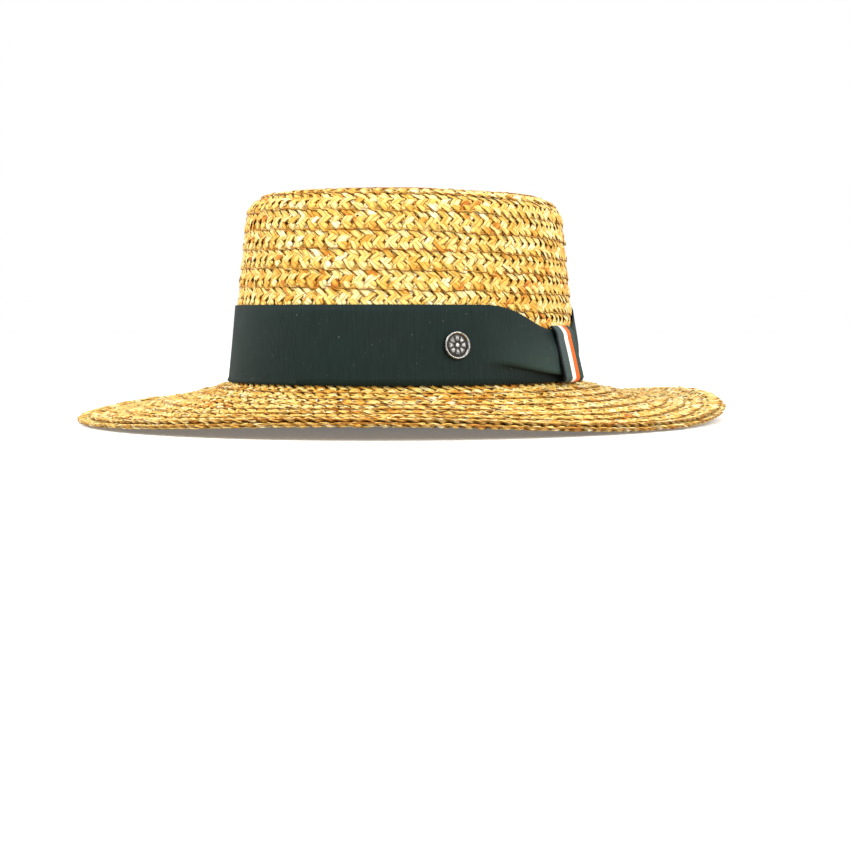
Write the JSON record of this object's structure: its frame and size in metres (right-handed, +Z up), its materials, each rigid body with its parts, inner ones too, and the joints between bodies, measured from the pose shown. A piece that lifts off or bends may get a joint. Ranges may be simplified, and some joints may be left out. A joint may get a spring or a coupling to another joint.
{
  "type": "straw boater hat",
  "caption": "Straw boater with a flat-tipped, slightly tapered crown, a wide gently waved brim, a ribbon band held by a striped keeper, and a round metal badge.",
  "frame": {"origin": "on the surface the hat stands on, below the middle of its outline, which is also the middle of the head opening", "axes": "+Z up through the crown; -Y is the front of the hat and +Y its back; +X is the wearer's left, where the keeper is"},
  "size_m": [0.325, 0.356, 0.114],
  "materials": {
    "raffia": "natural golden raffia braid, plaited and sewn in rows, slightly shiny strands",
    "band_ribbon": "dark green ribbed ribbon, matt with a low sheen",
    "keeper_ribbon": "ribbed ribbon striped grey-green, white, orange and green",
    "badge_metal": "aged dark pewter with a worn bright rim",
    "sweatband_ribbon": "black ribbed ribbon, matt",
    "piping_cord": "pale grey twisted cord"
  },
  "bodies": {
    "root": {"crown": "raffia", "brim": "raffia", "brim_edge": "raffia", "hatband": "band_ribbon", "keeper_loop": "keeper_ribbon", "badge": "badge_metal", "sweatband": "sweatband_ribbon", "sweatband_piping": "piping_cord"}
  },
  "joints": []
}
